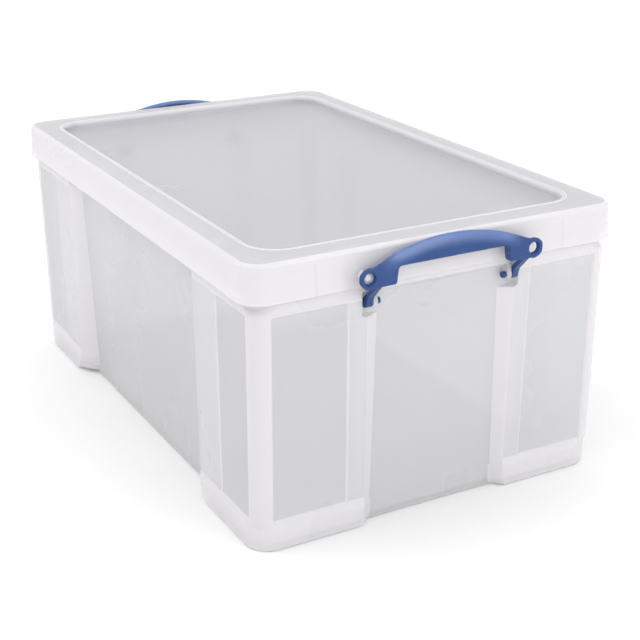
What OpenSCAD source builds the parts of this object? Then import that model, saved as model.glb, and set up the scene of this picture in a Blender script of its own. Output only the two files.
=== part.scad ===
// Clear stacking storage box for under a bed: a tub with four proud corner
// pillars, a lift-off lid, and a swinging carry handle that closes over each end.
// +X runs along the box, +Z is up, and the origin is on the floor under its middle.

/* [Tub] */
// Length over the pillars, just below the rim
tub_l = 672; // [640:1:676]
// Width over the pillars
tub_w = 423; // [400:1:426]
// Length that the pillars lose from the rim down to the floor
pillar_draft = 10; // [0:1:16]
// Length between the two end walls, at the floor
core_l = 644; // [600:1:646]
// Width between the two long walls, at the floor
core_w = 388; // [360:1:394]
// Growth of the end-to-end length, from the floor to the top of the walls
core_draft_l = 12; // [4:1:14]
// Growth of the width, from the floor to the top of the walls
core_draft_w = 16; // [4:1:18]
// Wall thickness
wall_t = 2.6; // [2:0.1:3]
// Height of the tub's rim
rim_z = 306.3; // [300:0.1:306.4]
// Lower edge of the solid band under the rim
band_z = 257; // [250:1:258]
// Radius of the pillars' outer corners
corner_r = 24; // [20:1:26]

/* [Feet] */
// Height of the band round each foot
foot_h = 25; // [15:1:30]
// How far each foot stands out from its pillar
foot_proud = 2; // [0.5:0.5:3]
// Thickness of the tub's floor
floor_t = 4; // [3:0.5:5]

/* [Lid] */
// Length of the lid
lid_l = 680; // [680:1:684]
// Width of the lid
lid_w = 440; // [436:1:446]
// Height of the lid's highest bead above the floor
lid_z = 310; // [310:0.5:312]
// Height of the lid's skirt
skirt_h = 41; // [36:1:41]
// Radius of the lid's corners
lid_r = 36; // [30:1:38]
// Wall thickness of the lid
lid_t = 2.5; // [2:0.1:2.8]
// Half length of the sunk panel
panel_x = 304; // [290:1:310]
// Half width of the sunk panel
panel_y = 186; // [170:1:190]
// Depth of the sunk panel below the border
panel_depth = 7; // [4:0.5:9]

/* [Handles] */
// Half width of a handle, over its ears
ear_reach = 107.2; // [100:0.1:112]
// Radius of the round ears
ear_r = 10.7; // [9:0.1:12]
// Height of the ears' centres above the floor
ear_z = 282.3; // [281:0.1:284]
// Height of the top of the arch
arch_z = 313; // [312:0.5:316]
// Radius of the arch
arch_r = 217; // [195:1:230]
// Half width of the hand opening
grip_y = 64; // [55:1:66]
// Height of the bar's underside above the floor
grip_z = 290.5; // [289:0.5:292]
// Thickness of the front plate
plate_t = 4.5; // [3.5:0.1:5]

/* [Hidden] */
$fn = 64;
ENDS = [-1, 1];

// The outline's bays: where the walls turn out to the pillars, at the floor and at the band
bay_y = 77;                       // end wall, at the floor
bay_y_top = 72;                   // end wall, at the band
bay_x = 172;                      // long wall
pillar_y = 88;                    // inner edge of a pillar's end face
pillar_x = 193;                   // inner edge of a pillar's long face
edge_soft = 3;                    // bevel along the feet's lowest edge
foot_slope = 9;                   // height of the slope above a foot
band_slope = 7;                   // height of the slope under the rim's band
pocket_y = 92;                    // half width of an end bay at the hinges
pocket_z = 238;                   // where the bay has reached that width
pocket_slope = 3;                 // height of the slope under it
pocket_turn = 1.5;                // run of the pocket's steep side
arc_steps = 8;                    // straight steps in each rounded corner of a loft
eps = 0.01;

// Hinges: one lug on each side of the end bay, with the handle's pin through it
hinge_x = 333.6;
hinge_z = 250.7;
pin_r = 2.75;
pin_gap = 0.05;                   // running clearance round the pin
lug_y = 77.5;                     // inner face of a lug
lug_t = 5.1;
lug_r = 5.5;
lug_root_x = 326.6;
lug_top_z = band_z + band_slope;
knob_r = 3.6;
knob_t = 4.2;
knuckle_r = 5.3;
knuckle_t = 8;
side_gap = 0.4;                   // between a lug and what turns beside it

// Lid: levels and small parts
border_z = lid_z - 1;
panel_z = border_z - panel_depth;
panel_r = 32;
bead_w = 4;
lid_edge = 4.5;                   // rounding of the lid's top edge
stud_r = 3.8;
stud_y = ear_reach - ear_r;
stud_gap = 0.3;                   // between a stud and the plate that closes over it
END_RIBS = [-158, -78, -31, 31, 78, 158];
SIDE_RIBS = [-268, -219, -45, 45, 219, 268];
rib_t = 1.6;
rib_reach = 3;                    // depth of the ribs under the border

// Handle: the plate lies outside the lid, and the bar is deeper than the plate
plate_x = 356;                    // outer face
bar_back_x = 345;
bar_y = 60;                       // half length of the deep part of the bar
bar_wall = 3.2;
hole_r = 5.6;
block_z = ear_z - ear_r + 0.7;    // lowest edge of the plate
block_inset = 2;                  // how far the hand opening widens towards its foot
block_r = 3;

// ---- outlines and lofts ----

// The rounded corner between the faces x = px and y = py
function corner_arc(px, py, r) =
    [for (i = [0 : arc_steps]) let (t = 90 * i / arc_steps)
        [px - r + r * cos(t), py - r + r * sin(t)]];

// A quarter of the tub's outline, from the +X side round to the +Y side: a and b are
// the end and long walls, pa and pb the pillar's faces, and the rest is where they turn.
function quarter(a, b, pa, pb, ya, yp, xa, xp, r) =
    concat([[a, ya], [pa, yp]], corner_arc(pa, pb, r), [[xp, pb], [xa, b]]);

function flip(pts, sx, sy) = [for (p = pts) [sx * p[0], sy * p[1]]];
function reversed(pts) = [for (i = [len(pts) - 1 : -1 : 0]) pts[i]];

function all_quarters(q) =
    concat(q, reversed(flip(q, -1, 1)), flip(q, -1, -1), reversed(flip(q, 1, -1)));

// How far along a wall a bend moves when the wall is offset by inset
function bend(inset, rise, run) = inset * tan(atan2(rise, run) / 2);

// The tub's outline at height z, shrunk by inset; proud moves the pillars out, pocket
// widens the end bays for the hinges, and fill closes the bays flush with the pillars.
function tub_ring(z, inset = 0, proud = 0, fill = 0, pocket = 0) =
    let (up = min(z / band_z, 1),
         pa = tub_l / 2 - pillar_draft / 2 * (1 - up) + proud - inset,
         pb = tub_w / 2 + proud - inset,
         wall_a = (core_l + core_draft_l * up) / 2 - inset,
         wall_b = (core_w + core_draft_w * up) / 2 - inset,
         a = wall_a + (pa - wall_a) * fill,
         b = wall_b + (pb - wall_b) * fill,
         ya = pocket > 0 ? pocket_y : bay_y + (bay_y_top - bay_y) * up,
         yp = pocket > 0 ? pocket_y + pocket_turn : pillar_y,
         my = bend(inset, pa - a, yp - ya),
         mx = bend(inset, pb - b, pillar_x - bay_x))
    [for (p = all_quarters(quarter(a, b, pa, pb, ya + my, yp + my,
                                   bay_x + mx, pillar_x + mx, corner_r - inset)))
        [p[0], p[1], z]];

// The lid's outline at height z, shrunk by inset
function lid_ring(z, inset) =
    [for (p = all_quarters(corner_arc(lid_l / 2 - inset, lid_w / 2 - inset, lid_r - inset)))
        [p[0], p[1], z]];

// A closed solid through a stack of rings that have equal numbers of points
module loft(rings) {
    n = len(rings[0]);
    last = (len(rings) - 1) * n;
    polyhedron(
        points = [for (ring = rings) each ring],
        faces = concat(
            [[for (i = [0 : n - 1]) i]],
            [for (k = [0 : len(rings) - 2], i = [0 : n - 1]) let (j = (i + 1) % n)
                each [[k * n + i, (k + 1) * n + i, k * n + j],
                      [k * n + j, (k + 1) * n + i, (k + 1) * n + j]]],
            [[for (i = [n - 1 : -1 : 0]) last + i]]));
}

module rounded_plate(l, w, r, h) {
    linear_extrude(h) {
        square([l - 2 * r, w], center = true);
        square([l, w - 2 * r], center = true);
        for (sx = ENDS, sy = ENDS) translate([sx * (l / 2 - r), sy * (w / 2 - r)]) circle(r);
    }
}

// A cylinder that lies along Y, from y0 to y1, on the hinge line of the +X end
module hinge_rod(r, y0, y1) {
    translate([hinge_x, y1, hinge_z]) rotate([90, 0, 0]) cylinder(r = r, h = y1 - y0);
}

// ---- tub ----

module lug() {
    hinge_rod(lug_r, lug_y, lug_y + lug_t);
    translate([lug_root_x, lug_y, hinge_z - lug_r])
        cube([hinge_x - lug_root_x, lug_t, lug_top_z - hinge_z + lug_r]);
}

// One loft goes up the outside, over the rim and down the inside to the floor
module tub_shell() {
    outside = [tub_ring(0, edge_soft, foot_proud), tub_ring(edge_soft, 0, foot_proud),
               tub_ring(foot_h, 0, foot_proud), tub_ring(foot_h + foot_slope),
               tub_ring(pocket_z - pocket_slope), tub_ring(pocket_z, pocket = 1),
               tub_ring(band_z, pocket = 1), tub_ring(lug_top_z, fill = 1, pocket = 1),
               tub_ring(rim_z, fill = 1, pocket = 1)];
    inside = [tub_ring(rim_z, wall_t, fill = 1, pocket = 1),
              tub_ring(lug_top_z + wall_t / 2, wall_t, fill = 1, pocket = 1),
              tub_ring(band_z + wall_t / 2, wall_t, pocket = 1),
              tub_ring(pocket_z - wall_t, wall_t, pocket = 1),
              tub_ring(pocket_z - pocket_slope - wall_t, wall_t), tub_ring(floor_t, wall_t)];
    loft(concat(outside, inside));
}

module tub() {
    color([0.86, 0.87, 0.90, 0.45]) difference() {
        union() {
            tub_shell();
            for (turn = [0, 180], sy = [0, 1]) rotate([0, 0, turn]) mirror([0, sy, 0]) lug();
        }
        for (turn = [0, 180], sy = [0, 1]) rotate([0, 0, turn]) mirror([0, sy, 0])
            hinge_rod(pin_r + pin_gap, lug_y - 1, lug_y + lug_t + 1);
    }
}

// ---- lid ----

module lid_shell() {
    difference() {
        loft([lid_ring(lid_z - skirt_h, 0), lid_ring(border_z - lid_edge, 0),
              lid_ring(border_z - lid_edge / 3, lid_edge / 3), lid_ring(border_z, lid_edge)]);
        translate([0, 0, lid_z - skirt_h - 1])
            rounded_plate(lid_l - 2 * lid_t, lid_w - 2 * lid_t, lid_r - lid_t,
                          skirt_h - lid_t);
    }
}

// Stiffening ribs under the border, between the panel's wall and the tub's rim
module lid_ribs() {
    rib_z = border_z - lid_t - rib_reach;
    rim_in = tub_l / 2 - wall_t - 1;
    rim_side = tub_w / 2 - wall_t - 1;
    for (sx = ENDS, y = END_RIBS)
        translate([sx > 0 ? panel_x : -rim_in, y - rib_t / 2, rib_z])
            cube([rim_in - panel_x, rib_t, rib_reach + lid_t / 2]);
    for (sy = ENDS, x = SIDE_RIBS)
        translate([x - rib_t / 2, sy > 0 ? panel_y : -rim_side, rib_z])
            cube([rib_t, rim_side - panel_y, rib_reach + lid_t / 2]);
}

module lid() {
    stud_l = plate_x - plate_t - stud_gap - lid_l / 2 + lid_t / 2;
    color([0.90, 0.90, 0.93, 0.45]) {
        difference() {
            union() {
                lid_shell();
                lid_ribs();
                translate([0, 0, panel_z - lid_t])
                    rounded_plate(2 * (panel_x + lid_t), 2 * (panel_y + lid_t),
                                  panel_r + lid_t, border_z - panel_z + lid_t);
                translate([0, 0, border_z - eps])
                    rounded_plate(2 * (panel_x + bead_w), 2 * (panel_y + bead_w),
                                  panel_r + bead_w, lid_z - border_z + eps);
            }
            translate([0, 0, panel_z])
                rounded_plate(2 * panel_x, 2 * panel_y, panel_r, lid_z - panel_z + 1);
        }
        for (turn = [0, 180], sy = ENDS) rotate([0, 0, turn])
            translate([lid_l / 2 - lid_t / 2, sy * stud_y, ear_z])
                rotate([0, 90, 0]) cylinder(r = stud_r, h = stud_l);
    }
}

// ---- handles ----

// Front outline of a handle, drawn with Y across and Z up
module arch_outline() {
    difference() {
        union() {
            intersection() {
                translate([0, arch_z - arch_r]) circle(arch_r, $fn = 256);
                translate([-stud_y, block_z]) square([2 * stud_y, arch_z - block_z]);
            }
            for (s = ENDS) translate([s * stud_y, ear_z]) circle(ear_r);
        }
        polygon([[-grip_y - block_inset, block_z - 1], [grip_y + block_inset, block_z - 1],
                 [grip_y, grip_z - block_r], [grip_y - block_r, grip_z],
                 [block_r - grip_y, grip_z], [-grip_y, grip_z - block_r]]);
        for (s = ENDS) translate([s * stud_y, ear_z]) circle(hole_r);
    }
}

// The hollow that is cored out of the bar from behind
module bar_core() {
    intersection() {
        translate([0, arch_z - arch_r]) circle(arch_r - bar_wall, $fn = 256);
        translate([-bar_y + bar_wall, grip_z + bar_wall])
            square([2 * (bar_y - bar_wall), arch_z - grip_z]);
    }
}

// Stands an outline up in the plane across the box and gives it a depth towards +X
module stand(x0, depth) {
    translate([x0, 0, 0]) rotate([90, 0, 90]) linear_extrude(depth) children();
}

module arm() {
    arm_top = ear_z - ear_r + 4;
    inner = lug_y + lug_t + side_gap;
    hinge_rod(knuckle_r, inner, inner + knuckle_t);
    translate([0, inner + knuckle_t, 0]) rotate([90, 0, 0]) linear_extrude(knuckle_t)
        polygon([[hinge_x - 3, hinge_z + 4], [hinge_x + 4.4, hinge_z + 10.8],
                 [hinge_x + 10.4, hinge_z + 17.3], [plate_x - plate_t, arm_top],
                 [plate_x, arm_top], [plate_x, block_z], [hinge_x + 7.9, hinge_z + 6.8],
                 [hinge_x + knuckle_r, hinge_z + 0.5], [hinge_x, hinge_z]]);
    hinge_rod(pin_r, lug_y - side_gap - eps, inner + 1);
    hinge_rod(knob_r, lug_y - side_gap - knob_t, lug_y - side_gap);
}

module handle() {
    color([0.14, 0.34, 0.62]) {
        stand(plate_x - plate_t, plate_t) arch_outline();
        stand(bar_back_x, plate_x - plate_t - bar_back_x + eps) difference() {
            intersection() {
                arch_outline();
                translate([-bar_y, grip_z]) square([2 * bar_y, arch_z - grip_z]);
            }
            bar_core();
        }
        for (sy = [0, 1]) mirror([0, sy, 0]) arm();
    }
}

module handle_front() {
    handle();
}

module handle_back() {
    rotate([0, 0, 180]) handle();
}

tub();
lid();
handle_front();
handle_back();
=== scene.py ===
import math

import bmesh
import bpy
import numpy as np
from mathutils import Matrix, Vector


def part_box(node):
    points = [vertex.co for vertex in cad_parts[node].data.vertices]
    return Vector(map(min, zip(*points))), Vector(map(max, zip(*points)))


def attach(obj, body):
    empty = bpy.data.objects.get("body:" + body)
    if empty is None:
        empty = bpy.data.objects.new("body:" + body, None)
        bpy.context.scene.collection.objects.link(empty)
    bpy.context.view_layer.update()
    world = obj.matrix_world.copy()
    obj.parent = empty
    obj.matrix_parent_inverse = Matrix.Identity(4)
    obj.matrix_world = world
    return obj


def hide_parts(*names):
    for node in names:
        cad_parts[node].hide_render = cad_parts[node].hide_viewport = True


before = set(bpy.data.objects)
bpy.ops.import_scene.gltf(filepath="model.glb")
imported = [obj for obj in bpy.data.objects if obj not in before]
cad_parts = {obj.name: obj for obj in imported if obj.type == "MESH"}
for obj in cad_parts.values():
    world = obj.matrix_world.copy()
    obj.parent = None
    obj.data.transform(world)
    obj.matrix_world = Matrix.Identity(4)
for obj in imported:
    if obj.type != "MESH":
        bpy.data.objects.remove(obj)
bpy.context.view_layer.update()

# Shapes are worked out in millimetres. These sizes are read from the frame, apart from LID_X,
# because the lid's box takes in its studs. The numbers further down repeat the part's sizes.
MM = 0.001
TUB_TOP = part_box("tub")[1].z / MM
LID_X, LID_Y, LID_Z = 340.0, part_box("lid")[1].y / MM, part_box("lid")[1].z / MM
LID_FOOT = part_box("lid")[0].z / MM
PLATE_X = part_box("handle_front")[1].x / MM
ARCH_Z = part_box("handle_front")[1].z / MM
EAR_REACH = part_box("handle_front")[1].y / MM

# ---------------------------------------------------------------- mesh tools


def rounded(corners, steps=3):
    """A path through corners (x, y, radius) or (x, y, radius, steps), rounded at all but its ends.
    The number of points depends only on the steps, so that outlines at different heights match.
    A radius of 10 mm or more may use nearly all of the shorter side, and others not quite half."""
    path = [np.array(corners[0][:2], float)]
    for before, here, after in zip(corners, corners[1:], corners[2:]):
        p = np.array(here[:2], float)
        if here[2] == 0:
            path.append(p)
            continue
        u, v = np.array(before[:2]) - p, np.array(after[:2]) - p
        lu, lv = np.linalg.norm(u), np.linalg.norm(v)
        u, v = u / lu, v / lv
        half = math.acos(max(-1.0, min(1.0, float(u @ v)))) / 2
        most = min(lu, lv) * (0.97 if here[2] >= 10 else 0.45)
        reach = max(min(here[2] / math.tan(half), most), 0.1)
        count = here[3] if len(here) > 3 else steps
        turn = math.pi - 2 * half
        if turn < 0.02:
            for t in np.linspace(-1, 1, count + 1):
                path.append(p + (v if t > 0 else u) * abs(t) * reach)
            continue
        r = reach * math.tan(half)
        middle = p + (u + v) / np.linalg.norm(u + v) * r / math.sin(half)
        a, b = p + u * reach - middle, p + v * reach - middle
        for t in np.linspace(0, 1, count + 1):
            path.append(
                middle
                + (math.sin((1 - t) * turn) * a + math.sin(t * turn) * b)
                / math.sin(turn)
            )
    path.append(np.array(corners[-1][:2], float))
    return np.array(path)


def around(quarter):
    """The whole outline from its quarter, which runs from the +X axis to the +Y axis."""
    back = quarter[::-1]
    return np.concatenate(
        [
            quarter,
            (back * (-1, 1))[1:],
            (quarter * (-1, -1))[1:],
            (back * (1, -1))[1:-1],
        ]
    )


def level(outline, z):
    return np.column_stack([outline, np.full(len(outline), z)])


def loft(rings, capped=True):
    """Vertices and faces of a skin through closed rings of equal length."""
    n = len(rings[0])
    faces = []
    for k in range(len(rings) - 1):
        for i in range(n):
            j = (i + 1) % n
            faces.append((k * n + i, k * n + j, (k + 1) * n + j, (k + 1) * n + i))
    if capped:
        faces.append(tuple(range(n))[::-1])
        faces.append(tuple((len(rings) - 1) * n + i for i in range(n)))
    return np.concatenate(rings), faces


def lathe(profile, centre, axis, steps=40):
    """A turned solid with flat ends. Its profile holds (distance along the axis, radius)."""
    axis = Vector(axis).normalized()
    side = axis.orthogonal().normalized()
    up = axis.cross(side)
    rings = []
    for s, r in profile:
        ring = [
            Vector(centre) + axis * s + (side * math.cos(t) + up * math.sin(t)) * r
            for t in np.linspace(0, 2 * math.pi, steps, endpoint=False)
        ]
        rings.append(np.array([list(p) for p in ring]))
    return loft(rings)


def drum(r, length, soft):
    """The lathe profile of a plain cylinder with rounded rims."""
    turn = [
        (soft * (1 - math.cos(t)), r - soft * (1 - math.sin(t)))
        for t in np.linspace(0, math.pi / 2, 5)
    ]
    return (
        [(0, r * 0.3)] + turn + [(length - s, q) for s, q in turn[::-1]] + [(length, r * 0.3)]
    )


def slab(outline, holes, depth, soft, place):
    """A flat plate with rounded edges and holes. place puts its middle plane in the frame."""
    curve = bpy.data.curves.new("slab", "CURVE")
    curve.dimensions = "2D"
    curve.fill_mode = "BOTH"
    curve.extrude = depth / 2 - soft
    curve.bevel_depth = soft
    curve.bevel_resolution = 2
    curve.offset = -soft
    for loop in [outline, *holes]:
        spline = curve.splines.new("POLY")
        spline.points.add(len(loop) - 1)
        for point, (x, y) in zip(spline.points, loop):
            point.co = (x, y, 0, 1)
        spline.use_cyclic_u = True
    holder = bpy.data.objects.new("slab", curve)
    bpy.context.scene.collection.objects.link(holder)
    seen = holder.evaluated_get(bpy.context.evaluated_depsgraph_get())
    mesh = bpy.data.meshes.new_from_object(seen)
    bpy.data.objects.remove(holder)
    mesh.transform(Matrix(place))
    points = np.array([v.co for v in mesh.vertices])
    faces = [tuple(p.vertices) for p in mesh.polygons]
    bpy.data.meshes.remove(mesh)
    return points, faces


def circle(cx, cy, r, steps):
    """The corners of a regular polygon round (cx, cy)."""
    return [
        (cx + r * math.cos(t), cy + r * math.sin(t))
        for t in np.linspace(0, 2 * math.pi, steps, endpoint=False)
    ]


def mirrored(part, matrix):
    """A copy of a part through a 4x4 matrix, turned right side out if the matrix is a mirror."""
    points, faces = part
    m = np.array(matrix, float)
    moved = points @ m[:3, :3].T + m[:3, 3]
    if np.linalg.det(m[:3, :3]) < 0:
        faces = [f[::-1] for f in faces]
    return moved, faces


MIRROR_Y = Matrix.Diagonal((1, -1, 1, 1))
HALF_TURN = Matrix.Diagonal((-1, -1, 1, 1))


def both_sides(part):
    return [part, mirrored(part, MIRROR_Y)]


def both_ends(parts):
    return parts + [mirrored(p, HALF_TURN) for p in parts]


def piece(name, parts, body, material, sharp=35, solid=None):
    """Joins closed parts, in millimetres, into one smooth-shaded object that rides on a body.
    Where it is given, solid(x, y, z) gives a value from 0 to 1 at a point for how thick the
    plastic looks, which also carries highlights painted pale on edges and along the handle's
    crest."""
    bm = bmesh.new()
    for points, faces in parts:
        made = [bm.verts.new(Vector(p) * MM) for p in points]
        for f in faces:
            bm.faces.new([made[i] for i in f])
    bmesh.ops.remove_doubles(bm, verts=bm.verts, dist=1e-6)
    bmesh.ops.dissolve_degenerate(bm, edges=bm.edges, dist=1e-6)
    bmesh.ops.recalc_face_normals(bm, faces=bm.faces)
    mesh = bpy.data.meshes.new(name)
    bm.to_mesh(mesh)
    bm.free()
    mesh.shade_smooth()
    mesh.set_sharp_from_angle(angle=math.radians(sharp))
    mesh.materials.append(material)
    if solid:
        shares = [solid(*(v.co / MM)) for v in mesh.vertices]
        mesh.attributes.new("solid", "FLOAT", "POINT").data.foreach_set("value", shares)
    obj = bpy.data.objects.new(name, mesh)
    bpy.context.scene.collection.objects.link(obj)
    even = obj.modifiers.new("even_normals", "WEIGHTED_NORMAL")
    even.keep_sharp = True
    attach(obj, body)
    return obj


# ---------------------------------------------------------------- materials


class Nodes:
    """Short calls for the nodes that the materials use."""

    def __init__(self, name):
        self.mat = bpy.data.materials.new(name)
        self.mat.use_nodes = True
        self.tree = self.mat.node_tree
        self.shader = self.tree.nodes["Principled BSDF"]
        self.place = self.tree.nodes.new("ShaderNodeTexCoord").outputs["Object"]

    def add(self, kind, **inputs):
        node = self.tree.nodes.new(kind)
        for key, value in inputs.items():
            socket = node.inputs[key.replace("_", " ")]
            if isinstance(value, bpy.types.NodeSocket):
                self.tree.links.new(value, socket)
            else:
                socket.default_value = value
        return node

    def noise(self, scale, detail=3.0, stretch=(1, 1, 1)):
        mapped = self.add("ShaderNodeMapping", Vector=self.place, Scale=stretch)
        node = self.add(
            "ShaderNodeTexNoise",
            Vector=mapped.outputs["Vector"],
            Scale=scale,
            Detail=detail,
        )
        return node.outputs["Fac"]

    def thickness_and_highlight(self):
        """How thick the plastic looks, and where highlights are painted pale, which piece() stores
        at each vertex.
        """
        node = self.add("ShaderNodeAttribute")
        node.attribute_name = "solid"
        return node.outputs["Fac"]

    def span(self, value, from_low, from_high, to_low, to_high):
        node = self.add("ShaderNodeMapRange", Value=value)
        for i, number in enumerate((from_low, from_high, to_low, to_high)):
            node.inputs[i + 1].default_value = number
        return node.outputs["Result"]

    def math(self, operation, a, b=0.0):
        node = self.tree.nodes.new("ShaderNodeMath")
        node.operation = operation
        for socket, value in zip(node.inputs, (a, b)):
            if isinstance(value, bpy.types.NodeSocket):
                self.tree.links.new(value, socket)
            else:
                socket.default_value = value
        return node.outputs[0]

    def blend(self, factor, a, b):
        node = self.tree.nodes.new("ShaderNodeMix")
        node.data_type = "RGBA"
        for key, value in ((0, factor), (6, a), (7, b)):
            if isinstance(value, bpy.types.NodeSocket):
                self.tree.links.new(value, node.inputs[key])
            else:
                node.inputs[key].default_value = value
        return node.outputs[2]

    def bump(self, height, distance, strength=1.0):
        node = self.add("ShaderNodeBump", Height=height)
        node.inputs["Distance"].default_value = distance
        node.inputs["Strength"].default_value = strength
        self.tree.links.new(node.outputs["Normal"], self.shader.inputs["Normal"])

    def feed(self, **inputs):
        for key, value in inputs.items():
            socket = self.shader.inputs[key.replace("_", " ")]
            if isinstance(value, bpy.types.NodeSocket):
                self.tree.links.new(value, socket)
            else:
                socket.default_value = value


def clear_plastic(name, thin, thick_and_highlight_tones, opacity, roughness):
    """Milky translucent polypropylene, paler and less see-through where the piece looks thick and
    where highlight lines are painted on its edges.
    Its tone and opacity drift slowly, its gloss follows faint flow lines, and light scuffs
    dull it."""
    n = Nodes(name)
    thickness_and_highlight_share = n.thickness_and_highlight()
    slow, flow = n.noise(4.0, 1.0), n.noise(9.0, 1.0, (1, 1, 0.5))
    drift = n.span(slow, 0.3, 0.7, 0.0, 1.0)
    scuff = n.span(n.noise(16.0, 2.0, (1, 1, 2.0)), 0.5, 0.8, 0.0, 1.0)
    pale = n.blend(drift, (*thin[0], 1), (*thin[1], 1))
    full = n.blend(drift, (*thick_and_highlight_tones[0], 1), (*thick_and_highlight_tones[1], 1))
    # The pale thick tone also paints highlight lines along edges, corners and beads.
    n.feed(Base_Color=n.blend(thickness_and_highlight_share, pale, full))
    gloss = n.span(flow, 0.3, 0.7, roughness - 0.03, roughness + 0.03)
    n.feed(Roughness=n.math("ADD", gloss, n.math("MULTIPLY", scuff, 0.012)))
    n.feed(Alpha=n.math("ADD", n.span(thickness_and_highlight_share, 0.0, 1.0, *opacity), n.math("MULTIPLY", drift, 0.02)))
    n.feed(IOR=1.49, Specular_IOR_Level=0.5)
    n.bump(n.math("ADD", slow, n.math("MULTIPLY", flow, 0.3)), 0.0004, 0.2)
    return n.mat


def blue_plastic():
    """Moulded blue polypropylene with a satin skin, paler where it is rubbed, with a highlight
    painted pale along the bar's crest.
    """
    n = Nodes("blue_handle")
    drift, grain = n.noise(30.0, 2.0), n.noise(900.0, 2.0)
    rub = n.span(n.noise(220.0, 5.0, (1, 0.4, 1)), 0.6, 0.75, 0.0, 1.0)
    tone = n.blend(n.span(drift, 0.3, 0.7, 0, 1), (0.008, 0.046, 0.185, 1), (0.012, 0.06, 0.22, 1))
    # Painted highlight: the pale blue along the bar's crest.
    tone = n.blend(n.thickness_and_highlight(), (0.12, 0.19, 0.43, 1), tone)
    n.feed(Base_Color=n.blend(n.math("MULTIPLY", rub, 0.2), tone, (0.05, 0.13, 0.36, 1)))
    gloss = n.span(drift, 0.3, 0.7, 0.24, 0.31)
    n.feed(Roughness=n.math("ADD", gloss, n.math("MULTIPLY", rub, 0.1)))
    n.feed(IOR=1.49, Specular_IOR_Level=0.5)
    height = n.math("ADD", n.math("MULTIPLY", drift, 0.5), n.math("MULTIPLY", grain, 0.05))
    n.bump(height, 0.0006, 0.3)
    return n.mat


# Each of these is the pair of tones that a plastic's colour drifts between. clear_plastic is given
# the pair and the opacity where the piece is thin, and those where it is thick, which also paint
# highlight lines.
THIN = ((0.75, 0.75, 0.765), (0.72, 0.72, 0.74))
GREY = ((0.57, 0.57, 0.605), (0.55, 0.55, 0.59))
PALE = ((0.84, 0.815, 0.84), (0.81, 0.795, 0.825))
TUB_SKIN = clear_plastic("clear_tub", THIN, PALE, (0.50, 0.66), 0.28)
LID_SKIN = clear_plastic("clear_lid", GREY, PALE, (0.55, 0.74), 0.24)
STUD_SKIN = clear_plastic("clear_stud", PALE, PALE, (0.93, 0.93), 0.22)
BLUE_SKIN = blue_plastic()

# ---------------------------------------------------------------- tub

# The band under the rim, and where faces stand at the floor and how far they lean out up to it.
BAND = 257.0
END_BAY, END_BAY_LEAN = 322.0, 6.0
SIDE_BAY, SIDE_BAY_LEAN = 194.0, 8.0
END_PILLAR, END_PILLAR_LEAN = 331.0, 5.0
SIDE_PILLAR = 211.5
# Along each face, the bay's edge, the pillar's edge, and the step down to the pillar's sunk panel.
END_BAY_EDGE, END_PILLAR_EDGE, END_RIB = 77.0, 88.0, 107.4
SIDE_BAY_EDGE, SIDE_PILLAR_EDGE, SIDE_RIB = 172.0, 193.0, 247.7
STEP, SUNK = 1.8, 1.2
# Corner radii, and the flat strip left between a corner and the panels beside it.
PILLAR_R, FOOT_R, RIM_R, FLOOR_R = 16.0, 28.0, 26.0, 26.0
STRIP = 1.5
# The feet's rounded inner lower corners, and the end bay's edges in the hinge pockets.
SIDE_TURN, END_TURN = 28.0, 8.0
POCKET_BAY_EDGE, POCKET_PILLAR_EDGE = 92.0, 93.5
WALL = 2.6
LIP = WALL / 2
FLOOR_Z = 4.0


def foot_shift(z, r):
    """How far a foot's inner lower corner, rounded to radius r, has drawn in at height z."""
    return r - math.sqrt(r * r - (r - z) ** 2) if z < r else 0.0


def faces_at(z):
    """Where the end and side bays' walls and the end pillars' faces stand at height z."""
    up = min(z / BAND, 1.0)
    end_bay = END_BAY + END_BAY_LEAN * up
    side_bay = SIDE_BAY + SIDE_BAY_LEAN * up
    return end_bay, side_bay, END_PILLAR + END_PILLAR_LEAN * up


def tub_outline(
    z, inset=0.0, proud=0.0, sunk=0.0, fill=0.0, corner=PILLAR_R, feet=1.0, pocket=0.0
):
    """The tub's outline at height z. proud moves the pillars out, sunk sets their panels in, fill
    closes the bays, feet rounds the feet's inner corners, and pocket widens the end bays for the
    hinges."""
    end_bay, side_bay, end_pillar = faces_at(z)
    pa = end_pillar + proud - inset
    pb = SIDE_PILLAR + proud - inset
    a = end_bay - inset + (pa - end_bay + inset) * fill
    b = side_bay - inset + (pb - side_bay + inset) * fill
    ya = END_BAY_EDGE - 5.0 * min(z / BAND, 1.0) + foot_shift(z, END_TURN) * feet
    yp = END_PILLAR_EDGE + foot_shift(z, END_TURN) * feet
    ya += (POCKET_BAY_EDGE - ya) * pocket
    yp += (POCKET_PILLAR_EDGE - yp) * pocket
    slide = inset * math.tan(math.atan2(pa - a, yp - ya) / 2)
    ya, yp = ya + slide, yp + slide
    slant = SIDE_PILLAR_EDGE - SIDE_BAY_EDGE
    dx = foot_shift(z, SIDE_TURN) * feet + inset * math.tan(math.atan2(pb - b, slant) / 2)
    r = max(corner - inset, 4.0)
    strip = r + STRIP
    return around(
        rounded(
            [
                (a, 0, 0),
                (a, ya, 5.0 - 3.8 * pocket),
                (pa, yp, 4.0 - 3.0 * pocket),
                (pa, END_RIB, 0.8, 2),
                (pa - sunk, END_RIB + STEP, 0.8, 2),
                (pa - sunk, pb - strip - STEP, 0.8, 2),
                (pa, pb - strip, 0.8, 2),
                (pa, pb, r, 8),
                (pa - strip, pb, 0.8, 2),
                (pa - strip - STEP, pb - sunk, 0.8, 2),
                (SIDE_RIB + STEP + dx, pb - sunk, 0.8, 2),
                (SIDE_RIB + dx, pb, 0.8, 2),
                (SIDE_PILLAR_EDGE + dx, pb, 4.0),
                (SIDE_BAY_EDGE + dx, b, 5.0),
                (0, b, 0),
            ]
        )
    )


# How thick the ribs and the lid's border look, and the heights where the tub's look changes.
RIB_LOOK, BORDER_LOOK = 0.3, 0.35
FOOT_TOP, PANEL_TOP, BAND_EDGE = 34.5, 254.5, 262.0


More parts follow.
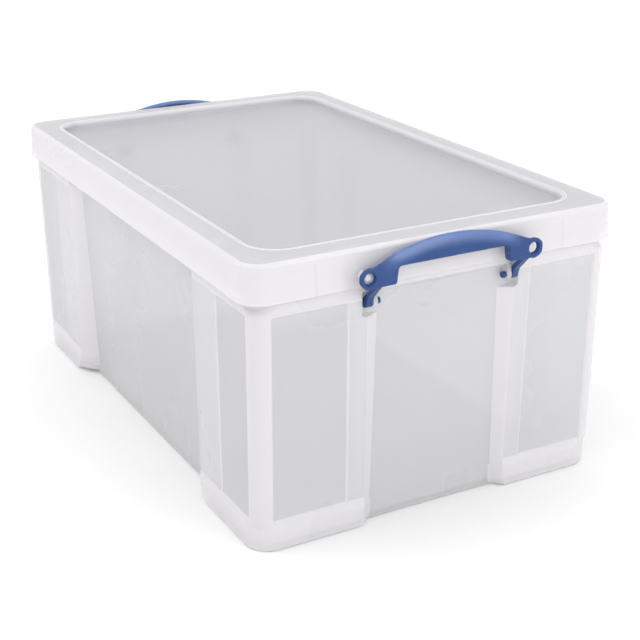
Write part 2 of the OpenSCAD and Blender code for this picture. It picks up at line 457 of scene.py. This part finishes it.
def tub_thickness_and_highlights(x, y, z):
    """The tub's feet and rim look thick, its ribs less so, and its panels and bay walls thin. Its
    corners, slants, panel steps and the edges at the feet's tops and under the band are painted
    pale as highlight lines."""
    x, y = abs(x), abs(y)
    end_bay, side_bay, end_pillar = faces_at(z)
    on_end = x - 125.0 > y
    across = y if on_end else x
    if z > BAND:
        return 1.0 if z > BAND_EDGE or across > (91.0 if on_end else 180.0) else 0.0
    wall, pillar = (end_bay, end_pillar) if on_end else (side_bay, SIDE_PILLAR)
    face = x if on_end else y
    if face < wall + 0.15:
        return 0.0
    # Painted highlight: the feet with the edge along their tops, and the edge where the panels
    # meet the band.
    if z < FOOT_TOP or z > PANEL_TOP:
        return 1.0
    corner = PILLAR_R + STRIP
    rib, strip = (END_RIB, SIDE_PILLAR - corner) if on_end else (SIDE_RIB, end_pillar - corner)
    on_slant = across < rib - 10.0 and face < pillar - 0.1
    on_step = abs(across - rib - STEP / 2) < 0.95 or abs(across - strip + STEP / 2) < 0.95
    # Painted highlight lines on the slants, the panel steps and the corners.
    if on_slant or on_step or across > strip:
        return 1.0
    return RIB_LOOK if across < rib else 0.0


def tub_shell():
    """The tub's skin: out under the floor, up the outside, over the rim and down the inside."""
    rings = []

    def ring(z, **shape):
        rings.append(level(tub_outline(z, **shape), z))

    # the underside, which rises 1.6 mm inside the feet's soles, and the feet
    foot = {"proud": 2.0, "corner": FOOT_R}
    for z, inset in ((1.6, 21.0), (1.6, 16.4), (1.2, 15.6), (0.0, 14.6)):
        ring(z, inset=inset, **foot)
    for t in np.linspace(0, math.pi / 2, 5):
        ring(3 * (1 - math.cos(t)), inset=3 * (1 - math.sin(t)), **foot)
    for z in (5.5, 9.0, 13.0, 18.0, 24.0):
        ring(z, **foot)
    # the slope from the feet to the pillars and their sunk panels
    for z, proud, sunk, corner in (
        (25.0, 1.94, 0.0, 27.8),
        (25.8, 1.7, 0.1, 27.0),
        (26.6, 1.42, 0.25, 25.8),
        (32.6, 0.22, 0.95, 17.3),
        (33.8, 0.05, 1.12, 16.2),
        (35.5, 0.0, SUNK, PILLAR_R),
    ):
        ring(z, proud=proud, sunk=sunk, corner=corner)
    # the walls, with the hinge pockets at the top
    for z in (60, 110, 160, 200, 232, 235):
        ring(z, sunk=SUNK)
    for z, pocket in ((235.6, 0.06), (237.4, 0.94), (238.0, 1.0), (252.5, 1.0)):
        ring(z, sunk=SUNK, pocket=pocket)
    for z, sunk in ((253.6, 1.05), (254.8, 0.3), (255.8, 0.0), (256.8, 0.0)):
        ring(z, sunk=sunk, pocket=1.0)
    # the band, where the bays close, and the lip
    for z, fill, corner in (
        (257.6, 0.05, 16.5),
        (258.6, 0.17, 18.0),
        (262.4, 0.83, 24.5),
        (263.4, 0.95, 25.5),
        (264.4, 1.0, RIM_R),
        (285.0, 1.0, RIM_R),
    ):
        ring(z, fill=fill, corner=corner, pocket=1.0)
    for t in np.linspace(0, math.pi, 7):
        ring(
            TUB_TOP - LIP * (1 - math.sin(t)),
            fill=1.0,
            inset=LIP * (1 - math.cos(t)),
            corner=RIM_R,
            pocket=1.0,
        )
    # the inside, down to the floor
    inside = {"inset": WALL, "feet": 0.0}
    for z, fill in ((285.0, 1.0), (265.6, 1.0), (263.8, 0.83), (259.8, 0.17), (258.2, 0.0)):
        corner = RIM_R - (RIM_R - PILLAR_R) * (1 - fill)
        ring(z, fill=fill, corner=corner, pocket=1.0, **inside)
    ring(235.4, pocket=1.0, **inside)
    for z in (232.4, 210, 160, 110, 60, 20):
        ring(z, **inside)
    turn = 5.0
    for t in np.linspace(0, math.pi / 2, 5):
        z = FLOOR_Z + turn - turn * math.sin(t)
        ring(z, inset=WALL + turn * (1 - math.cos(t)), corner=FLOOR_R, feet=0.0)
    ring(FLOOR_Z, inset=24.0, corner=FLOOR_R, feet=0.0)
    return loft(rings)


HINGE_X, HINGE_Z = 333.6, 250.7
LUG_Y, LUG_T, LUG_R, BORE_R = 80.05, 5.1, 5.5, 2.8
LUG_ROOT_X, LUG_TOP = 326.8, 263.0


def across_y(y):
    """The place, at y, of a plate that is drawn as (x, -z) and stands across Y."""
    return Matrix(((1, 0, 0, 0), (0, 0, 1, y), (0, -1, 0, 0), (0, 0, 0, 1)))


def lug():
    """A tab of the tub that carries a handle's pin."""
    outline = [
        (HINGE_X + LUG_R * math.cos(t), HINGE_Z + LUG_R * math.sin(t))
        for t in np.linspace(-math.pi / 2, 0.6, 12)
    ]
    outline += [(HINGE_X + 4.0, 259.0), (334.4, LUG_TOP)]
    outline += [(LUG_ROOT_X, LUG_TOP), (LUG_ROOT_X, 244.6)]
    turned = [(x, -z) for x, z in outline]
    bore = circle(HINGE_X, -HINGE_Z, BORE_R, 24)
    return slab(turned, [bore], LUG_T, 0.6, across_y(LUG_Y))


tub = piece(
    "tub_body",
    [tub_shell(), *both_ends(both_sides(lug()))],
    "tub",
    TUB_SKIN,
    solid=tub_thickness_and_highlights,
)
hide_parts("tub")

# ---------------------------------------------------------------- lid

BORDER_Z = LID_Z - 1.0
PANEL_X, PANEL_Y, PANEL_Z, PANEL_R = 304.0, 186.0, BORDER_Z - 7.0, 32.0
LID_R = 26.0
LID_T = 2.6
# The skirt and the panel have as many points at each corner, because lid_shell lofts between them.
CORNER_STEPS = 14


def skirt_outline(out, pad):
    """The lid's outline, grown by out. Its corners stand pad beyond the middles of its sides."""
    hx, hy = LID_X + out, LID_Y + out
    r = max(LID_R + out, 3.0)
    return around(
        rounded(
            [
                (hx - pad, 0, 0),
                (hx - pad, 145.4, 0.7, 2),
                (hx, 146.8, 0.7, 2),
                (hx, hy, r, CORNER_STEPS),
                (294.8, hy, 0.7, 2),
                (293.4, hy - pad, 0.7, 2),
                (0, hy - pad, 0),
            ]
        )
    )


def panel_outline(out):
    """The rounded rectangle of the sunk panel, grown by out, with as many points as the skirt."""
    hx, hy = PANEL_X + out, PANEL_Y + out
    r = PANEL_R + out
    return around(
        rounded(
            [
                (hx, 0, 0),
                (hx, 60.0, 0.7, 2),
                (hx, 61.5, 0.7, 2),
                (hx, hy, r, CORNER_STEPS),
                (121.5, hy, 0.7, 2),
                (120.0, hy, 0.7, 2),
                (0, hy, 0),
            ]
        )
    )


def lid_shell():
    """The lid's skin: out along its underside, round the skirt, and in over the border."""
    rings = []

    def skirt(z, out, pad):
        rings.append(level(skirt_outline(out, pad), z))

    def panel(z, out):
        rings.append(level(panel_outline(out), z))

    # underside, from the middle of the panel out to the skirt's foot
    panel(PANEL_Z - 2.5, -8.0)
    panel(PANEL_Z - 2.5, 1.2)
    panel(PANEL_Z - 2.0, 2.3)
    panel(PANEL_Z - 0.8, 2.9)
    panel(BORDER_Z - 3.4, 4.0)
    panel(BORDER_Z - LID_T, 4.8)
    skirt(BORDER_Z - LID_T, -6.0, 0.6)
    skirt(BORDER_Z - 3.1, -4.0, 0.8)
    skirt(BORDER_Z - 4.6, -3.0, 1.0)
    skirt(LID_FOOT + 4.0, -2.6, 1.0)
    skirt(LID_FOOT + 1.0, -2.1, 1.0)
    skirt(LID_FOOT, -1.4, 1.0)
    # outside, from the small flare at the foot up over the stepped corner pads
    skirt(LID_FOOT, -0.4, 1.0)
    skirt(LID_FOOT + 0.5, 0.0, 1.0)
    skirt(LID_FOOT + 2.6, 0.0, 1.0)
    skirt(LID_FOOT + 3.6, -0.6, 0.8)
    skirt(283.4, -0.7, 0.9)
    skirt(284.6, -1.3, 0.7)
    skirt(298.4, -1.4, 0.6)
    skirt(299.6, -2.0, 0.2)
    skirt(BORDER_Z - 5.4, -2.1, 0.1)
    turn = 5.0
    for t in np.linspace(0.15, math.pi / 2, 6):
        skirt(BORDER_Z - turn * (1 - math.sin(t)), -2.1 - turn * (1 - math.cos(t)), 0.0)
    # border, the double bead along the panel, its wall and its floor
    panel(BORDER_Z, 6.4)
    panel(BORDER_Z + 0.75, 5.6)
    panel(BORDER_Z + 1.0, 4.8)
    panel(BORDER_Z + 0.75, 4.0)
    panel(BORDER_Z - 0.1, 3.1)
    panel(BORDER_Z + 0.35, 2.4)
    panel(BORDER_Z + 0.55, 1.7)
    panel(BORDER_Z + 0.25, 1.0)
    panel(BORDER_Z - 1.0, 0.4)
    panel(PANEL_Z + 1.6, -0.6)
    panel(PANEL_Z + 0.5, -1.1)
    panel(PANEL_Z, -2.4)
    panel(PANEL_Z, -8.0)
    return loft(rings)


def lid_ribs():
    """Thin ribs under the border, between the panel's wall and the tub's rim."""
    parts = []
    top, low = BORDER_Z - 2.0, BORDER_Z - 6.0
    half, reach_x, reach_y = 0.8, 332.0, 208.0
    for y in (31.0, 78.0, 158.0):
        parts.append(rib((PANEL_X + 3.0, y - half, low), (reach_x, y + half, top)))
    for x in (45.0, 219.0, 268.0):
        parts.append(rib((x - half, PANEL_Y + 3.0, low), (x + half, reach_y, top)))
    return both_ends([p for part in parts for p in both_sides(part)])


def rib(low, high):
    """A box between two corners, with its bottom edges eased."""
    (x0, y0, z0), (x1, y1, z1) = low, high
    soft = 0.25
    rings = []
    for z, inset in ((z0, soft), (z0 + soft, 0.0), (z1, 0.0)):
        rings.append(
            np.array(
                [
                    (x0 + inset, y0 + inset, z),
                    (x1 - inset, y0 + inset, z),
                    (x1 - inset, y1 - inset, z),
                    (x0 + inset, y1 - inset, z),
                ]
            )
        )
    return loft(rings)


def lid_thickness_and_highlights(x, y, z):
    """The lid's sunk panel looks thin and its border less so; its skirt looks thick, and its beads
    and rounded top edge are painted pale as highlight lines.
    """
    if abs(x) < PANEL_X + 1.0 and abs(y) < PANEL_Y + 1.0 and z < BORDER_Z - 4.5:
        return 0.0
    on_border = abs(z - BORDER_Z) < 0.12 or abs(z - BORDER_Z + LID_T) < 0.1
    # The beads and the rounded top edge are painted pale as highlight lines.
    return BORDER_LOOK if on_border else 1.0


lid = piece(
    "lid_body", [lid_shell(), *lid_ribs()], "lid", LID_SKIN, solid=lid_thickness_and_highlights
)
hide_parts("lid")

EAR_R = 10.7
EAR_Y, EAR_Z = EAR_REACH - EAR_R, 282.3
# The thickness of a handle's ear plate, and the gap between it and the stud behind it.
PLATE_T, STUD_GAP = 4.5, 0.3
# The stud's root, shank, rounded end and the dimple in that end.
STUD_PROFILE = [
    (0, 1.0),
    (0, 4.6),
    (1.0, 3.9),
    (8.0, 3.8),
    (11.0, 3.8),
    (11.9, 3.4),
    (12.3, 2.6),
    (12.35, 1.9),
    (11.8, 1.3),
    (11.7, 0.4),
]
STUD_LENGTH = max(reach for reach, _ in STUD_PROFILE)
stud_root = (PLATE_X - PLATE_T - STUD_GAP - STUD_LENGTH, EAR_Y, EAR_Z)
stud = lathe(STUD_PROFILE, stud_root, (1, 0, 0), 36)
piece("lid_studs", both_ends(both_sides(stud)), "lid", STUD_SKIN)

# ---------------------------------------------------------------- handles

ARCH_R = 217.0
# The lower edge of the bar, of the blocks at its ends and of the ear plates, and where along Y the
# bar's flat part, the blocks and the slope down from them end.
BAR_FOOT, BLOCK_FOOT, PLATE_FOOT = 290.5, 286.0, 272.3
BAR_END, BLOCK_END, SLOPE_END = 61.0, 65.5, 67.0
PLATE_EASE = 1.4
EAR_SOFT = 1.6
ARM_Y, ARM_T = 87.0, 7.8


def ease(t):
    """A smooth step from 0 to 1."""
    t = max(0.0, min(1.0, t))
    return t * t * (3 - 2 * t)


def arch_top(y):
    """The upper edge of the arch, which blends into the round top of the ear."""
    arch = ARCH_Z - ARCH_R + math.sqrt(ARCH_R**2 - y * y) if y < EAR_Y else 0.0
    e = y - EAR_Y
    ear = EAR_Z + math.sqrt(max(EAR_R**2 - e * e, 0.0)) if abs(e) < EAR_R else 0.0
    high, low = max(arch, ear), min(arch, ear)
    return high + math.log1p(math.exp(low - high)) if low > 0 else high


def arch_foot(y):
    """The lower edge of the bar, the blocks at its ends and the ears."""
    if y < BAR_END:
        return BAR_FOOT
    if y < BLOCK_END:
        turn = BAR_FOOT - BLOCK_FOOT
        return BLOCK_FOOT + math.sqrt(max(turn**2 - (y - BAR_END) ** 2, 0.0))
    run = SLOPE_END - BLOCK_END
    if y < SLOPE_END:
        return BLOCK_FOOT - (y - BLOCK_END) / run * (BLOCK_FOOT - PLATE_FOOT - PLATE_EASE)
    foot = PLATE_FOOT + PLATE_EASE * max(0.0, 1.0 - (y - SLOPE_END) / run) ** 2
    if y < EAR_Y - 4:
        return foot
    ear = EAR_Z - math.sqrt(max(EAR_R**2 - (y - EAR_Y) ** 2, 0.0))
    return min(foot, ear) if y < EAR_Y else ear


def arch_section(y):
    """The closed section of the handle's arch across Y, as points in the XZ plane."""
    s = abs(y)
    low, top = arch_foot(s), arch_top(s)
    bar = ease((92.0 - s) / 44.0)
    end = max(0.0, EAR_SOFT - (EAR_REACH - s))
    trim = EAR_SOFT - math.sqrt(max(EAR_SOFT**2 - end * end, 0.0))
    front = PLATE_X + 0.4 * bar - trim
    back = PLATE_X - PLATE_T - 6.5 * ease((84.0 - s) / 26.0) + trim
    core = 6.0 * ease((57.6 - s) / 1.2)
    lean = 6.4 * bar
    height = top - low
    rim = min(3.2, height * 0.2)
    slope = rim * 0.12
    face = []
    for t in np.linspace(0.12, 0.86, 7):
        z = low + height * t
        rise = max(0.0, (z - 288.0) / (top - 288.0))
        face.append((front - lean * rise**2.2, z, 0))
    path = [
        ((front + back) / 2, low, 0),
        (front - 0.2 * bar, low, 1.6),
        *face,
        (front - lean, top, 2.6 + 0.8 * bar, 5),
        (back, top - 1.6 * bar, 1.4 + 0.9 * bar),
        (back, top - rim - 1.6 * bar - slope, 0.5, 2),
        (back + core, top - rim - 1.6 * bar - 2 * slope, 0.8, 2),
        (back + core, low + rim + slope, 0.8, 2),
        (back, low + rim, 0.5, 2),
        (back, low, 1.2),
        ((front + back) / 2, low, 0),
    ]
    ring = rounded(path)[:-1]
    return np.column_stack([ring[:, 0], np.full(len(ring), y), ring[:, 1]])


def arch():
    """The handle's arch from ear to ear, with more sections where its lower edge turns."""
    half = list(np.linspace(0, 54, 19)) + [56.4, 56.8, 57.2, 57.6, 60, 61, 62.2, 63.4, 64.4, 65.1]
    half += [65.5, 65.8, 66.1, 66.4, 66.7, 67, 67.5, 68.5, 70, 73, 76, 80, 84, 87]
    half += [90, 92, 94, 96, 98, 100, 102, 103.5, 104.8, 105.7, 106.3, 106.8, 107.05, 107.18]
    stations = [-y for y in half[::-1]][:-1] + half
    return loft([arch_section(y) for y in stations])


def handle_arm():
    """The arm below an ear, from the plate down and in to the disc on the hinge line."""
    top = EAR_Z - EAR_R + 4.0
    corners = [
        (HINGE_X, HINGE_Z - 3.0, 0),
        (HINGE_X + 5.2, HINGE_Z, 2.0),
        (HINGE_X + 7.9, HINGE_Z + 6.8, 3.0),
        (PLATE_X - 0.3, PLATE_FOOT, 2.0),
        (PLATE_X - 0.3, top, 0.8),
        (PLATE_X - 4.2, top, 0.8),
        (HINGE_X + 10.4, HINGE_Z + 17.3, 5.0),
        (HINGE_X + 4.4, HINGE_Z + 10.8, 4.0),
        (HINGE_X - 3.4, HINGE_Z + 4.0, 1.5),
        (HINGE_X, HINGE_Z - 3.0, 0),
    ]
    outline = [(x, -z) for x, z in rounded(corners)[:-1]]
    return slab(outline, [], ARM_T, 1.2, across_y(ARM_Y))


def hinge_drum(y0, y1, r, soft):
    """A cylinder on the hinge line from y0 to y1."""
    return lathe(drum(r, y1 - y0, soft), (HINGE_X, y0, HINGE_Z), (0, 1, 0))


def handle_parts():
    """The arms, each with its disc, its pin and the knob on the pin's end."""
    disc = hinge_drum(83.0, 91.0, 5.3, 1.0)
    pin = hinge_drum(76.5, 84.0, 2.75, 0.2)
    knob = hinge_drum(72.9, 77.1, 3.6, 1.5)
    side = [handle_arm(), disc, pin, knob]
    return [p for part in side for p in both_sides(part)]


def pierced_arch():
    """The arch with a hole through each ear, its front edge eased."""
    cutter = lathe(
        [(0, 1.0), (0, 5.4), (6.6, 5.4), (8.9, 6.6), (9.6, 7.4), (12.0, 9.8), (12.0, 1.0)],
        (PLATE_X - 9.5, EAR_Y, EAR_Z),
        (1, 0, 0),
        48,
    )
    solid = piece("arch_blank", [arch()], "handle_front", BLUE_SKIN)
    tool = piece("arch_tool", both_sides(cutter), "handle_front", BLUE_SKIN)
    cut = solid.modifiers.new("holes", "BOOLEAN")
    cut.operation = "DIFFERENCE"
    cut.solver = "EXACT"
    cut.object = tool
    seen = solid.evaluated_get(bpy.context.evaluated_depsgraph_get())
    mesh = bpy.data.meshes.new_from_object(seen)
    points = np.array([v.co for v in mesh.vertices]) / MM
    faces = [tuple(p.vertices) for p in mesh.polygons]
    bpy.data.objects.remove(solid)
    bpy.data.objects.remove(tool)
    return points, faces


def handle_crest_highlight(x, y, z):
    """The bar is painted paler along its crest, a highlight where its top faces the light; its
    ends, ears and arms keep the full tone.
    """
    below = arch_top(min(abs(y), EAR_Y)) - z
    return 1.0 - 0.85 * ease((15.0 - below) / 13.0) * ease((86.0 - abs(y)) / 24.0)


handle_shape = [pierced_arch(), *handle_parts()]
for name, matrix in (("handle_front", Matrix.Identity(4)), ("handle_back", HALF_TURN)):
    made = piece(
        name + "_moulding",
        [mirrored(p, matrix) for p in handle_shape],
        name,
        BLUE_SKIN,
        solid=handle_crest_highlight,
    )
    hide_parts(name)

# ---------------------------------------------------------------- stage

scene = bpy.context.scene
scene.view_settings.view_transform = "Standard"


def stage_floor():
    """A wide matt floor, nearly white, which is no part of the object."""
    n = Nodes("floor")
    drift = n.span(n.noise(3.0), 0.3, 0.7, 0, 1)
    n.feed(
        Base_Color=n.blend(drift, (0.9, 0.9, 0.9, 1), (0.92, 0.92, 0.92, 1)),
        Roughness=n.span(n.noise(12.0), 0.3, 0.7, 0.85, 0.95),
        Specular_IOR_Level=0.1,
    )
    bpy.ops.mesh.primitive_plane_add(size=30, location=(0, 0, -0.0002))
    floor = bpy.context.object
    floor.name = "floor"
    floor.data.materials.append(n.mat)


def lamp(name, where, target, size, power):
    light = bpy.data.lights.new(name, "AREA")
    light.shape = "RECTANGLE"
    light.size, light.size_y = size
    light.energy = power
    obj = bpy.data.objects.new(name, light)
    obj.location = where
    obj.rotation_euler = (Vector(target) - Vector(where)).to_track_quat("-Z", "Y").to_euler()
    scene.collection.objects.link(obj)


stage_floor()
lamp("key", (-0.6, -1.6, 2.6), (0, 0, 0.15), (1.6, 1.6), 15)
lamp("fill", (2.6, 0.9, 1.6), (0, 0, 0.15), (1.6, 1.2), 14)
world = bpy.data.worlds.new("studio")
world.use_nodes = True
world.node_tree.nodes["Background"].inputs["Color"].default_value = (1, 1, 1, 1)
world.node_tree.nodes["Background"].inputs["Strength"].default_value = 1.1
scene.world = world


def camera():
    """A long lens, level but for a slight roll, that looks down at the box from beyond one end."""
    yaw, pitch, roll = 2.6443, 0.37636, -0.00638
    forward = Vector(
        (math.cos(pitch) * math.cos(yaw), math.cos(pitch) * math.sin(yaw), -math.sin(pitch))
    )
    right = forward.cross(Vector((0, 0, 1))).normalized()
    up = right.cross(forward)
    tilted = math.cos(roll) * right + math.sin(roll) * up
    upright = -math.sin(roll) * right + math.cos(roll) * up
    data = bpy.data.cameras.new("camera")
    data.sensor_width = 36
    data.lens = 74.02
    data.clip_start, data.clip_end = 0.05, 60
    obj = bpy.data.objects.new("camera", data)
    turn = Matrix((tilted, upright, -forward)).transposed()
    obj.matrix_world = Matrix.Translation((1.36496, -0.69926, 0.70590)) @ turn.to_4x4()
    scene.collection.objects.link(obj)
    scene.camera = obj


camera()
